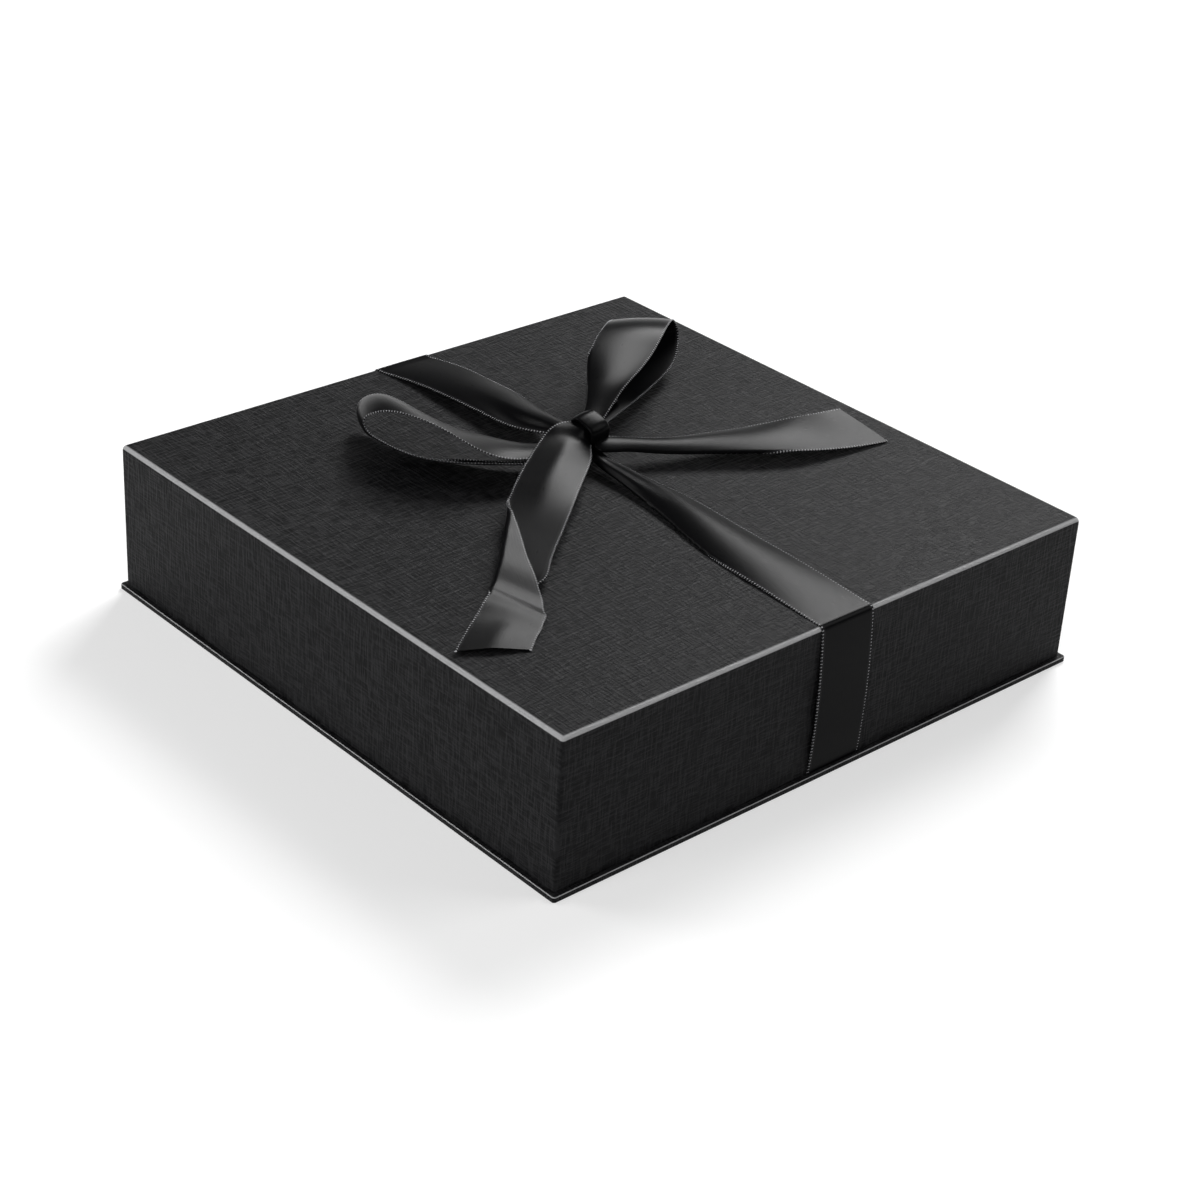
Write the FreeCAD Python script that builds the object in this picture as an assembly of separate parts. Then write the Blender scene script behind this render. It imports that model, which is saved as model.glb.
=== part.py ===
import FreeCAD, Part
import math
import os

# Rigid set-up gift box with a lift-off lid, a tray glued on a wider base board,
# and a satin ribbon that is glued into the lid and tied in a bow on top.
# Millimetres. The origin is the middle of the underside, +Z is up, and the wall
# with the photographed ribbon drop faces -Y.

# Driving dimensions
LID_SIDE = 250.0            # square lid, over the paper
BOX_HEIGHT = 61.0           # table to the top of the lid, without the bow
BASE_MARGIN = 1.8           # how far the base board stands out past the lid
LID_BOARD = 2.0             # greyboard of the lid and the tray
BASE_BOARD = 1.5            # greyboard of the base
PAPER = 0.25                # linen-embossed wrapping paper and lining paper, with its glue
STAY = 0.12                 # gummed tape over the board's open corners
RIBBON_WIDTH = 25.0
RIBBON_THICK = 0.4

# Finishing sizes
CORNER_RADIUS = 1.5         # upright corners of the wrapped lid
TOP_EDGE_RADIUS = 2.0       # edge round the top panel of the wrapped lid
BASE_CORNER = 1.2           # corners of the base board, seen from above
BASE_EDGE_RADIUS = 0.4      # top edge of the paper over the base board
TURN_IN = 15.0              # paper folded over a rim and glued down
SHEET_INSET = 3.0           # bare margin round the sheet under the base
STAY_LEG = 18.0             # tape on each side of a corner
STAY_MARGIN = 2.0           # tape left off at the top and bottom of a corner
TRAY_PLAY = 1.2             # gap between lid and tray on each side
TRAY_HEADROOM = 1.5         # gap between the tray's rim and the lid's ceiling
RIBBON_TUCK = 20.0          # ribbon glued up the inside of the lid
DROP_BOW = 1.2              # how far the hanging ribbon bows out from the wall
DROP_LAP = 5.0              # ribbon of a drop that lies on the top panel
FRONT_DROP_X = 2.0          # middle of the ribbon on the front wall
BACK_DROP_X = 4.5           # middle of the ribbon on the back wall

# Levels and sides worked out from them
BASE_SIDE = LID_SIDE + 2 * BASE_MARGIN
BASE_BOARD_LOW = 2 * PAPER
BASE_BOARD_TOP = BASE_BOARD_LOW + BASE_BOARD
BASE_TOP = BASE_BOARD_TOP + PAPER
LID_RIM = BASE_TOP + RIBBON_THICK
LID_BOARD_SIDE = LID_SIDE - 2 * PAPER
LID_INNER_SIDE = LID_BOARD_SIDE - 2 * LID_BOARD
LID_CLEAR_SIDE = LID_INNER_SIDE - 2 * PAPER
LID_INNER_TOP = BOX_HEIGHT - PAPER - LID_BOARD
TRAY_SIDE = LID_CLEAR_SIDE - 2 * TRAY_PLAY
TRAY_BOARD_SIDE = TRAY_SIDE - 2 * PAPER
TRAY_INNER_SIDE = TRAY_BOARD_SIDE - 2 * LID_BOARD
TRAY_CLEAR_SIDE = TRAY_INNER_SIDE - 2 * PAPER
TRAY_TOP = LID_INNER_TOP - PAPER - TRAY_HEADROOM
TRAY_FLOOR = BASE_TOP + LID_BOARD

# The knot is a short barrel: the ribbon wrapped once round the crossing
KNOT_PLACE = (10.0, 18.0, 10.0)     # x, y and height above the lid of its middle
KNOT_HEADING = 5.0                  # degrees from +X to +Y along its axis
KNOT_TILT = 4.0                     # degrees that its axis rises
KNOT_LENGTH = 9.0
KNOT_RADIUS = 6.9
KNOT_END_RADIUS = 6.5

KNOT_SIDES = 16             # flats round the barrel
KNOT_STEPS = 4              # rings along the barrel

LOFT_STEPS = 2              # lofted steps between two stations of a ribbon
ROLL_STEPS = 3              # the same where the ribbon rolls over
RIBBON_FACETS = 4           # flats across the ribbon's width
ROLL_FACETS = 16            # flats across the front tail, which rolls over
FOLD_REACH = 0.5            # of half the width, from the middle of a soft fold to its end
ROLL_TURN = 186.0           # degrees that the front tail rolls over
CROWN_REACH = 0.2           # of its width, over which the front tail's crown bends

# Routes of the ribbon, as stations from the knot or to it. Each station holds the
# middle of the ribbon as x, y and height above the lid, the way across its width
# as a heading and an upward tilt in degrees, the width it spreads to, and three heights
# out of flat: the cup of the whole width and a soft fold in its left and its right half.
# The front tail rolls over, so its stations follow its right edge: x, y, height and
# heading, then the lean, width and crown of its section and the place and reach of its roll.
BACK_ARM = [
    (4.5, 120.0, 0.2, 0, 0, 25, -0.2, 0, 0), (7.0, 104.0, 1.5, 0, 0, 25, -0.8, 0, 0),
    (7.5, 86.0, 2.6, 0, -2, 25, -1.4, 0, 0), (7.0, 66.0, 3.8, 10, -2, 24, -1.8, 0.6, 0),
    (5.0, 48.0, 5.4, 18, 0, 20, -2.2, 2.0, 0), (5.0, 35.0, 7.2, 20, 4, 13, -1.6, 1.2, 0),
    (9.0, 19.0, 7.6, 20, 0, 7, -0.8, 0, 0)]
FRONT_ARM = [
    (2.0, -120.0, 0.2, 0, 0, 25, 0.2, 0, 0), (3.0, -101.0, 0.5, 2, 0, 25, 0.8, 0, 0),
    (4.0, -77.0, 0.8, 3, 0, 24, 1.6, 0, 0), (5.5, -54.0, 1.2, 4, 0, 21, 2.2, 0, 0),
    (7.0, -36.0, 1.8, 8, 1, 17, 2.4, -0.6, 0.4), (7.0, -18.0, 2.6, 10, 2, 11.5, 1.6, 0.6, 0.6),
    (6.5, -4.5, 3.6, 16, 3, 8, 1.0, 0.6, 0.4), (6.5, 7.0, 4.8, 18, 3, 6.5, 0.8, 0.2, 0.2),
    (10.0, 17.0, 6.6, 10, 0, 6, 0.8, 0.2, 0.2)]
RIGHT_TAIL = [
    (10.0, 17.0, 8.8, 52, 8, 7, -0.8, 0, 0), (9.5, 12.5, 8.4, 50, 8, 9, -1.0, 0, 0),
    (16.5, 7.5, 7.6, 48, 6, 9, -1.0, 0, 0), (27.0, 1.5, 6.5, 44, 4, 9.5, -1.2, 0, 0),
    (44.0, -6.5, 5.6, 38, 2, 15, -1.4, 0, 0), (61.0, -14.0, 5.4, 44, 0, 21, -1.4, 0, 0),
    (81.0, -22.5, 5.2, 57, 4, 25, -1.0, 0, 0), (97.0, -26.0, 3.8, 73, 8, 25, -0.5, 0, 0),
    (111.0, -28.0, 2.8, 95, 11, 25, -0.2, 0, 0)]
LEFT_LOOP = [
    (9.0, 20.0, 8.4, 48, 0, 7, 0.8, 0, 0), (-11.0, 19.0, 8.0, 48, -2, 11.5, 1.0, 0, 0),
    (-24.0, 25.0, 9.5, 49, -6, 19, 1.2, 0, 0), (-32.0, 32.0, 12.4, 50, -13, 24, 1.0, 0, 0),
    (-38.5, 44.0, 15.6, 53, -20, 25, 0.8, 0, 0), (-43.0, 54.0, 18.0, 54, -18, 25, 0.8, 0, 0),
    (-46.5, 65.0, 18.6, 56, -12, 25, 1.0, 0, 0), (-49.5, 73.5, 15.6, 59, -11, 25, 1.0, 0, 0),
    (-51.0, 77.0, 11.0, 59, -16, 25, 1.0, 0, 0), (-52.0, 73.5, 7.6, 56, -22, 25, 1.0, 0, 0),
    (-52.5, 64.0, 6.1, 53, -26, 25, 0.6, 0, 0), (-50.5, 49.0, 5.9, 52, -26, 25, 0.4, 0, 0),
    (-41.5, 34.0, 5.9, 51, -26, 24, 0.4, 0, 0), (-28.5, 22.5, 6.2, 50, -26, 19, 0.6, 0, 0),
    (-11.0, 16.0, 5.4, 50, -22, 12, 0.8, 0, 0), (9.0, 19.0, 6.8, 50, -18, 7, 0.8, 0, 0)]
UPPER_LOOP = [
    (11.0, 19.0, 11.4, -48, -12, 7, 0.8, 0, 0), (20.0, 24.5, 13.8, -46, -12, 8.5, 1.0, 0, 0),
    (29.5, 31.0, 17.0, -38, -4, 13, 1.4, 0, 0), (40.0, 38.3, 19.4, -34, -4, 19.5, 1.6, 0, 0),
    (54.0, 48.0, 22.4, -33, -5, 25, 1.2, 0, 0), (65.0, 55.0, 24.0, -34, -3, 25, 0.8, 0, 0),
    (75.0, 62.0, 22.6, -31, -2, 25, 0.8, 0, 0), (83.0, 67.5, 17.8, -29, 0, 25, 0.8, 0, 0),
    (86.0, 68.5, 12.0, -31, 3, 25, 0.8, 0, 0), (82.0, 64.0, 8.0, -31, 4, 25, 0.8, 0, 0),
    (69.0, 54.5, 5.8, -28, 0, 25, 0.8, 0, 0), (54.0, 45.0, 5.4, -26, 0, 20, 0.8, 0, 0),
    (37.0, 35.0, 6.2, -32, 0, 13, 0.8, 0, 0), (12.0, 20.0, 9.8, -42, 0, 7, 0.8, 0, 0)]
FRONT_TAIL = [
    (11.0, 17.0, 9.6, -60, 10, 8, -10, 1.3, 0.2), (5.0, 10.0, 8.2, -65, 20, 16, -14, 1.3, 0.2),
    (0.0, 4.5, 8.6, -67, 18, 19.5, -18, 1.3, 0.2), (-12.0, -6.0, 8.6, -62, 17, 22.5, -22, 1.3, 0.2),
    (-23.0, -14.5, 8.2, -57, 12, 23, -16, 1.3, 0.2), (-35.0, -24.0, 7.5, -59, 3, 23.5, -5, 1.05, 0.15),
    (-46.0, -32.5, 6.7, -60, -1, 25, 0, 0.85, 0.13), (-53.5, -38.0, 5.8, -60, -1, 27, 0, 0.74, 0.14),
    (-61.0, -44.0, 4.8, -61, -1, 29.5, 0, 0.65, 0.14), (-68.0, -49.5, 3.7, -62, -1, 33, 0, 0.56, 0.14),
    (-77.5, -49.0, 2.6, -63, -1, 30, 0, 0.39, 0.14), (-88.0, -45.5, 2.4, -63, -1, 22, 0, 0.1, 0.2),
    (-94.5, -48.5, 3.3, -60, -6, 21.5, 4, -0.08, 0.2), (-100.0, -52.0, 3.0, -54, -9, 22, 7, -0.2, 0.2),
    (-109.0, -58.0, 2.2, -43, -15, 23, 14, -0.3, 0.2), (-120.5, -66.0, 1.3, -31, -13, 25.5, 10, -0.3, 0.2)]


def block(side, low, high, corner=0.0, top_edge=0.0):
    """Square block centred on the Z axis, with rounded upright corners and top edge."""
    solid = Part.makeBox(side, side, high - low, FreeCAD.Vector(-side / 2, -side / 2, low))
    if corner > 0:
        uprights = [e for e in solid.Edges if abs(e.tangentAt(e.FirstParameter).z) > 0.9]
        solid = solid.makeFillet(corner, uprights)
    if top_edge > 0:
        rim = [e for e in solid.Edges if e.BoundBox.ZMin > high - 0.001]
        solid = solid.makeFillet(top_edge, rim)
    return solid


def corner_stays(side, radius, low, high):
    """Four tapes, each bent round one upright corner of a board box."""
    ring = block(side + 2 * STAY, low, high, radius + STAY).cut(block(side, low, high, radius))
    tapes = []
    for quarter in range(4):
        reach = FreeCAD.Vector(side / 2 - STAY_LEG, side / 2 - STAY_LEG, low)
        window = Part.makeBox(2 * STAY_LEG, 2 * STAY_LEG, high - low, reach)
        window.rotate(FreeCAD.Vector(0, 0, 0), FreeCAD.Vector(0, 0, 1), 90.0 * quarter)
        tapes.extend(ring.common(window).Solids)
    return Part.makeCompound(tapes)


def base_pieces():
    """Base board, the paper over its top and edges, and the sheet under it."""
    board_side = BASE_SIDE - 2 * PAPER
    board = block(board_side, BASE_BOARD_LOW, BASE_BOARD_TOP, BASE_CORNER - PAPER)
    bare_side = board_side - 2 * TURN_IN
    wrap = block(BASE_SIDE, PAPER, BASE_TOP, BASE_CORNER, BASE_EDGE_RADIUS).cut(board)
    wrap = wrap.cut(block(bare_side, PAPER, BASE_BOARD_LOW))
    sheet = block(BASE_SIDE - 2 * SHEET_INSET, 0, PAPER, BASE_CORNER)
    sheet = sheet.fuse(block(bare_side, PAPER, BASE_BOARD_LOW)).removeSplitter()
    return {"base_board": board, "base_wrap": wrap, "base_sheet": sheet}


def tray_pieces():
    """The open tray: board, taped corners, paper round the outside and lining inside."""
    radius = CORNER_RADIUS - PAPER
    board_top = TRAY_TOP - PAPER
    hollow = block(TRAY_INNER_SIDE, TRAY_FLOOR, board_top)
    board = block(TRAY_BOARD_SIDE, BASE_TOP, board_top, radius).cut(hollow)
    stays = corner_stays(TRAY_BOARD_SIDE, radius, BASE_TOP + STAY_MARGIN, board_top - STAY_MARGIN)
    fold = TRAY_TOP - TURN_IN
    wrap = block(TRAY_SIDE, BASE_TOP, TRAY_TOP, CORNER_RADIUS)
    wrap = wrap.cut(block(TRAY_BOARD_SIDE, BASE_TOP, board_top, radius))
    wrap = wrap.cut(block(TRAY_CLEAR_SIDE, board_top, TRAY_TOP))
    fold_ring = block(TRAY_INNER_SIDE, fold, board_top).cut(block(TRAY_CLEAR_SIDE, fold, board_top))
    wrap = wrap.fuse(fold_ring).removeSplitter().cut(stays)
    liner = block(TRAY_INNER_SIDE, TRAY_FLOOR, fold)
    liner = liner.cut(block(TRAY_CLEAR_SIDE, TRAY_FLOOR + PAPER, fold))
    return {"tray_board": board, "tray_corner_stays": stays, "tray_wrap": wrap, "tray_liner": liner}


def lid_pieces():
    """The lid: board, taped corners, paper with its turned-in rim, and lining."""
    radius = CORNER_RADIUS - PAPER
    board_low = LID_RIM + PAPER
    board_top = BOX_HEIGHT - PAPER
    full = block(LID_BOARD_SIDE, board_low, board_top, radius, TOP_EDGE_RADIUS - PAPER)
    board = full.cut(block(LID_INNER_SIDE, board_low, LID_INNER_TOP))
    stay_top = board_top - TOP_EDGE_RADIUS - STAY_MARGIN
    stays = corner_stays(LID_BOARD_SIDE, radius, board_low + STAY_MARGIN, stay_top)
    fold = LID_RIM + TURN_IN
    wrap = block(LID_SIDE, LID_RIM, BOX_HEIGHT, CORNER_RADIUS, TOP_EDGE_RADIUS).cut(full)
    wrap = wrap.cut(block(LID_CLEAR_SIDE, LID_RIM, board_low))
    fold_ring = block(LID_INNER_SIDE, board_low, fold).cut(block(LID_CLEAR_SIDE, board_low, fold))
    wrap = wrap.fuse(fold_ring).removeSplitter().cut(stays)
    liner = block(LID_INNER_SIDE, fold, LID_INNER_TOP)
    liner = liner.cut(block(LID_CLEAR_SIDE, fold, LID_INNER_TOP - PAPER))
    return {"lid_board": board, "lid_corner_stays": stays, "lid_wrap": wrap, "lid_liner": liner}


def ribbon_drop(middle, side):
    """Ribbon over the top edge, down one wall, under the rim and up inside the lid.

    side is -1 for the front wall and +1 for the back wall.
    """
    wall = LID_SIDE / 2
    inside = LID_CLEAR_SIDE / 2
    turn = wall - TOP_EDGE_RADIUS
    bend_level = BOX_HEIGHT - TOP_EDGE_RADIUS
    half = RIBBON_WIDTH / 2

    def point(out, level):
        return FreeCAD.Vector(middle - half, side * out, level)

    def prism(edges):
        face = Part.Face(Part.Wire(edges))
        return face.extrude(FreeCAD.Vector(RIBBON_WIDTH, 0, 0))

    def slab(out_a, out_b, low, high):
        return prism(Part.makePolygon([point(out_a, low), point(out_b, low), point(out_b, high),
                                       point(out_a, high), point(out_a, low)]).Edges)

    def arc_through(first, second, third):
        return Part.Arc(first, second, third).toShape()

    def over_edge(radius):
        reach = radius * math.sqrt(0.5)
        return arc_through(point(turn, bend_level + radius), point(turn + reach, bend_level + reach),
                           point(turn + radius, bend_level))

    def down_wall(skin):
        mid_level = (bend_level + LID_RIM) / 2
        return arc_through(point(wall + skin, bend_level), point(wall + DROP_BOW + skin, mid_level),
                           point(wall + skin, LID_RIM))

    inner_radius = TOP_EDGE_RADIUS
    outer_radius = TOP_EDGE_RADIUS + RIBBON_THICK
    lap = slab(wall - DROP_LAP, turn, BOX_HEIGHT, BOX_HEIGHT + RIBBON_THICK)
    lower_end = Part.makeLine(point(turn + inner_radius, bend_level), point(turn + outer_radius, bend_level))
    upper_end = Part.makeLine(point(turn, bend_level + outer_radius), point(turn, bend_level + inner_radius))
    bend = prism([over_edge(inner_radius), lower_end, over_edge(outer_radius), upper_end])
    fall = prism([down_wall(0),
                  Part.makeLine(point(wall, LID_RIM), point(wall + RIBBON_THICK, LID_RIM)),
                  down_wall(RIBBON_THICK),
                  Part.makeLine(point(wall + RIBBON_THICK, bend_level), point(wall, bend_level))])
    under = slab(inside - RIBBON_THICK, wall + RIBBON_THICK, BASE_TOP, LID_RIM)
    tuck = slab(inside - RIBBON_THICK, inside, LID_RIM, LID_RIM + RIBBON_TUCK)
    return lap.fuse([bend, fall, under, tuck]).removeSplitter()


def knot():
    """Barrel with a crowned side, lying along its heading and tilt."""
    rings = []
    for place in range(KNOT_STEPS + 1):
        share = 2.0 * place / KNOT_STEPS - 1.0
        radius = KNOT_RADIUS - (KNOT_RADIUS - KNOT_END_RADIUS) * share * share
        out = share * KNOT_LENGTH / 2
        corners = []
        for side in range(KNOT_SIDES + 1):
            turn = 2 * math.pi * side / KNOT_SIDES
            corners.append(FreeCAD.Vector(out, radius * math.cos(turn), radius * math.sin(turn)))
        rings.append(Part.makePolygon(corners))
    barrel = Part.makeLoft(rings, True, True)
    middle = FreeCAD.Vector(0, 0, 0)
    barrel.rotate(middle, FreeCAD.Vector(0, 1, 0), -KNOT_TILT)
    barrel.rotate(middle, FreeCAD.Vector(0, 0, 1), KNOT_HEADING)
    x, y, height = KNOT_PLACE
    barrel.translate(FreeCAD.Vector(x, y, BOX_HEIGHT + height))
    return barrel


def soft_fold(share, middle):
    """Smooth hump of height 1 round a place across the ribbon, where -1 and 1 are its edges."""
    away = min(max((share - middle) / FOLD_REACH, -1), 1)
    return math.cos(math.pi / 2 * away) ** 2


def cupped_line(width, cup, left_fold, right_fold):
    """Middle line of the ribbon cut across, from its left edge: an arc with two soft folds."""
    way = math.copysign(1.0, cup)
    half_turn = 2 * math.atan(2 * abs(cup) / width)
    radius = width / (2 * math.sin(half_turn))
    line = []
    for place in range(RIBBON_FACETS + 1):
        share = 2 * place / RIBBON_FACETS - 1
        turn = share * half_turn
        fold = left_fold * soft_fold(share, -FOLD_REACH) + right_fold * soft_fold(share, FOLD_REACH)
        up = way * radius * (math.cos(turn) - math.cos(half_turn)) + fold * math.cos(turn)
        line.append(((radius + way * fold) * math.sin(turn), up))
    return line


def rolled_line(lean, width, crown, place, reach):
    """Middle line of ribbon that rolls over, from its left edge to its right edge at 0, 0.

    From the right edge it sets off to the left at the lean and bends by the crown in its
    middle, both in degrees. The roll is round a place and over a reach, both shares of the
    width; beyond 0 or 1 the roll has passed the edge.
    """
    line = [(0.0, 0.0)]
    step = width / ROLL_FACETS
    for flat in range(ROLL_FACETS):
        share = (flat + 0.5) / ROLL_FACETS
        rolled = min(max((share - place) / reach + 0.5, 0), 1)
        bent = min(max((share - 0.5) / CROWN_REACH + 0.5, 0), 1)
        way = math.radians(lean + crown * bent + ROLL_TURN * rolled)
        across, up = line[-1]
        line.append((across - step * math.cos(way), up + step * math.sin(way)))
    return line[::-1]


def ribbon_section(origin, across, normal, line):
    """Closed outline one ribbon thickness wide round a middle line."""
    lower, upper = [], []
    for place, (out, up) in enumerate(line):
        before, after = line[max(place - 1, 0)], line[min(place + 1, len(line) - 1)]
        run, rise = after[0] - before[0], after[1] - before[1]
        half = RIBBON_THICK / (2 * math.hypot(run, rise))
        lower.append(origin + across * (out + rise * half) + normal * (up - run * half))
        upper.append(origin + across * (out - rise * half) + normal * (up + run * half))
    outline = lower + upper[::-1]
    return outline + outline[:1]


def faceted_loft(outlines):
    """Solid through closed outlines whose sides twist, joined by flat triangles.

    Both faces are split along the same diagonal, the one that the roll follows.
    """
    faces = [Part.Face(Part.makePolygon(end)) for end in (outlines[0], outlines[-1])]
    for near, far in zip(outlines, outlines[1:]):
        for corner in range(len(near) - 1):
            a, b, c, d = near[corner], near[corner + 1], far[corner + 1], far[corner]
            if corner >= len(near) // 2:
                a, b, c, d = b, a, d, c
            faces.append(Part.Face(Part.makePolygon([a, b, c, a])))
            faces.append(Part.Face(Part.makePolygon([a, c, d, a])))
    shell = Part.makeShell(faces)
    shell.sewShape()
    solid = Part.makeSolid(shell)
    if solid.Volume < 0:
        solid.reverse()
    return solid


def refined(stations, steps):
    """Stations with others between them on a smooth curve through all of them."""

    def between(a, b, c, d, t):
        return b + 0.5 * t * (c - a + t * (2 * a - 5 * b + 4 * c - d + t * (3 * (b - c) + d - a)))

    last = len(stations) - 1
    smooth = []
    for place in range(last):
        before = stations[max(place - 1, 0)]
        start, end = stations[place], stations[place + 1]
        after = stations[min(place + 2, last)]
        for step in range(steps):
            t = step / steps
            smooth.append(tuple(between(*four, t) for four in zip(before, start, end, after)))
    smooth.append(stations[last])
    return smooth


def ribbon_strip(stations):
    """Thin solid lofted through the stations of a route that cups."""
    stations = refined(stations, LOFT_STEPS)
    centres = [FreeCAD.Vector(s[0], s[1], BOX_HEIGHT + s[2]) for s in stations]
    last = len(stations) - 1
    sections = []
    for place, station in enumerate(stations):
        turn, rise = math.radians(station[3]), math.radians(station[4])
        level = math.cos(rise)
        across = FreeCAD.Vector(math.cos(turn) * level, math.sin(turn) * level, math.sin(rise))
        along = centres[min(place + 1, last)] - centres[max(place - 1, 0)]
        normal = across.cross(along).normalize()
        outline = ribbon_section(centres[place], across, normal, cupped_line(*station[5:]))
        sections.append(Part.makePolygon(outline))
    return Part.makeLoft(sections, True, True)


def rolled_strip(stations):
    """Thin solid through the stations of a route that rolls over, in upright sections."""
    outlines = []
    up = FreeCAD.Vector(0, 0, 1)
    for x, y, height, heading, lean, width, crown, place, reach in refined(stations, ROLL_STEPS):
        turn = math.radians(heading)
        edge = FreeCAD.Vector(x, y, BOX_HEIGHT + height)
        across = FreeCAD.Vector(math.cos(turn), math.sin(turn), 0)
        outlines.append(ribbon_section(edge, across, up, rolled_line(lean, width, crown, place, reach)))
    return faceted_loft(outlines)


def bow_pieces():
    """Drops, arms, loops and tails, each cut back to where it goes into the knot."""
    pieces = {"ribbon_front_drop": ribbon_drop(FRONT_DROP_X, -1),
              "ribbon_back_drop": ribbon_drop(BACK_DROP_X, 1)}
    tied = knot()
    strips = {"ribbon_back_arm": ribbon_strip(BACK_ARM), "ribbon_front_arm": ribbon_strip(FRONT_ARM),
              "bow_right_tail": ribbon_strip(RIGHT_TAIL), "bow_left_loop": ribbon_strip(LEFT_LOOP),
              "bow_upper_loop": ribbon_strip(UPPER_LOOP), "bow_front_tail": rolled_strip(FRONT_TAIL)}
    for name, strip in strips.items():
        pieces[name] = strip.cut(tied)
    pieces["bow_knot"] = tied
    return pieces


def main():
    os.makedirs("parts", exist_ok=True)
    pieces = {}
    for group in (base_pieces(), tray_pieces(), lid_pieces(), bow_pieces()):
        pieces.update(group)
    for name, shape in pieces.items():
        shape.exportStep("parts/" + name + ".step")
        print(name, "solids", len(shape.Solids), "valid", shape.isValid(), "mm3", round(shape.Volume, 1))


main()
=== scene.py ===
# %% [markdown]
# A gift box is a rigid board box covered in paper, and its charm is in two finishes: a paper that is
# embossed like linen, and a satin ribbon tied in a bow on the lid. The board box comes as a frame of exact
# solids, so this lesson only dresses it: it paints the papers and makes the ribbon as real cloth.

# %% Load the frame
import math

import bpy
import numpy as np
from mathutils import Matrix, Vector


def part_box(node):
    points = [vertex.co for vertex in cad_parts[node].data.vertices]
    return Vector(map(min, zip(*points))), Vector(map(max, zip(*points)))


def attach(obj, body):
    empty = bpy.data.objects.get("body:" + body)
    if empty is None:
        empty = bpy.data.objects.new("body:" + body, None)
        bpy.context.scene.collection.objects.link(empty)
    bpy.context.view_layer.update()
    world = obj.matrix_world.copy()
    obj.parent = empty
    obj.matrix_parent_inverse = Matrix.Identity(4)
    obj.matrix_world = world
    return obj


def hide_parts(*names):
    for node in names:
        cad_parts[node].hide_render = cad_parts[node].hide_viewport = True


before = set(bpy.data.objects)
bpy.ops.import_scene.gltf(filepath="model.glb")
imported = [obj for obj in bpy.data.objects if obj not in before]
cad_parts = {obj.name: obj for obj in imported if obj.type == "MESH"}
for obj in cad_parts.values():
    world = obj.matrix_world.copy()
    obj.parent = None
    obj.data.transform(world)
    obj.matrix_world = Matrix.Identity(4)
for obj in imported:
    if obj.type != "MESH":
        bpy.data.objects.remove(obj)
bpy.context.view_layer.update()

MM = 0.001
lid_low, lid_high = (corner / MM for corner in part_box("lid_wrap"))
LID_TOP = lid_high.z
LID_WALL = lid_high.y
LID_RIM = lid_low.z
print("lid wall, rim and top at", [round(size, 2) for size in (LID_WALL, LID_RIM, LID_TOP)], "mm")

# %% [markdown]
# The camera stands where the photo's own camera stood. Its place, heading and lens were worked out from the
# box's straight edges, so the render can be laid over the photo.

# %% Camera
CAMERA_PLACE = (-580.0, -622.7, 492.1)   # mm
CAMERA_HEADING = 46.82                   # degrees from +X to +Y
CAMERA_PITCH = -29.49                    # degrees; it looks down
CAMERA_ROLL = 3.51                       # degrees
CAMERA_LENS = 77.93                      # mm
CAMERA_SENSOR = 36.0                     # mm wide
CAMERA_SIGHT = (0.05, 50.0)              # m, the nearest and the farthest that it sees


def place_camera():
    data = bpy.data.cameras.new("photo_camera")
    data.sensor_width = CAMERA_SENSOR
    data.lens = CAMERA_LENS
    data.clip_start, data.clip_end = CAMERA_SIGHT
    camera = bpy.data.objects.new("photo_camera", data)
    bpy.context.scene.collection.objects.link(camera)
    turn = Matrix.Rotation(math.radians(CAMERA_HEADING - 90), 4, "Z")
    tip = Matrix.Rotation(math.radians(90 + CAMERA_PITCH), 4, "X")
    roll = Matrix.Rotation(math.radians(CAMERA_ROLL), 4, "Z")
    camera.matrix_world = Matrix.Translation(Vector(CAMERA_PLACE) * MM) @ turn @ tip @ roll
    bpy.context.scene.camera = camera
    return camera


camera = place_camera()
bpy.context.scene.view_settings.view_transform = "Standard"
print("camera at", tuple(round(c, 3) for c in camera.location), "m")

# %% [markdown]
# Every finish is a small tree of shader nodes. Two helpers keep the trees readable: one turns a colour as a
# painter writes it, in sRGB hex, to the linear values that a shader works in, and one adds a node with its
# settings and its links in a single call. A third starts each material.

# %% Colours and nodes
def linear(hex_colour):
    """sRGB hex to a linear colour with alpha 1."""
    parts = [int(hex_colour[i:i + 2], 16) / 255 for i in (1, 3, 5)]
    return tuple(p / 12.92 if p <= 0.04045 else ((p + 0.055) / 1.055) ** 2.4 for p in parts) + (1.0,)


def add_node(tree, kind, inputs=None, **settings):
    """One node with its settings; an input takes a value, or a socket to link from."""
    node = tree.nodes.new(kind)
    for name, value in settings.items():
        setattr(node, name, value)
    for socket, value in (inputs or {}).items():
        if isinstance(value, bpy.types.NodeSocket):
            tree.links.new(value, node.inputs[socket])
        else:
            node.inputs[socket].default_value = value
    return node


def new_material(name):
    """An empty material with its output node, ready for a finish."""
    material = bpy.data.materials.new(name)
    material.use_nodes = True
    material.node_tree.nodes.clear()
    output = add_node(material.node_tree, "ShaderNodeOutputMaterial")
    return material, material.node_tree, output


print("middle grey #808080 is", round(linear("#808080")[0], 3), "in linear light")

# %% [markdown]
# The cover paper is dyed black in the pulp and pressed between engraved rollers, which leave it with raised
# threads in two directions, like linen cloth. The threads run along the edges of the box, they are uneven,
# and each shows for a few millimetres before it sinks under the next. A picture of linen would repeat and
# blur, so one stretched noise makes the threads of one direction; a thread set is left out on the faces that
# its threads would meet end on.

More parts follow.
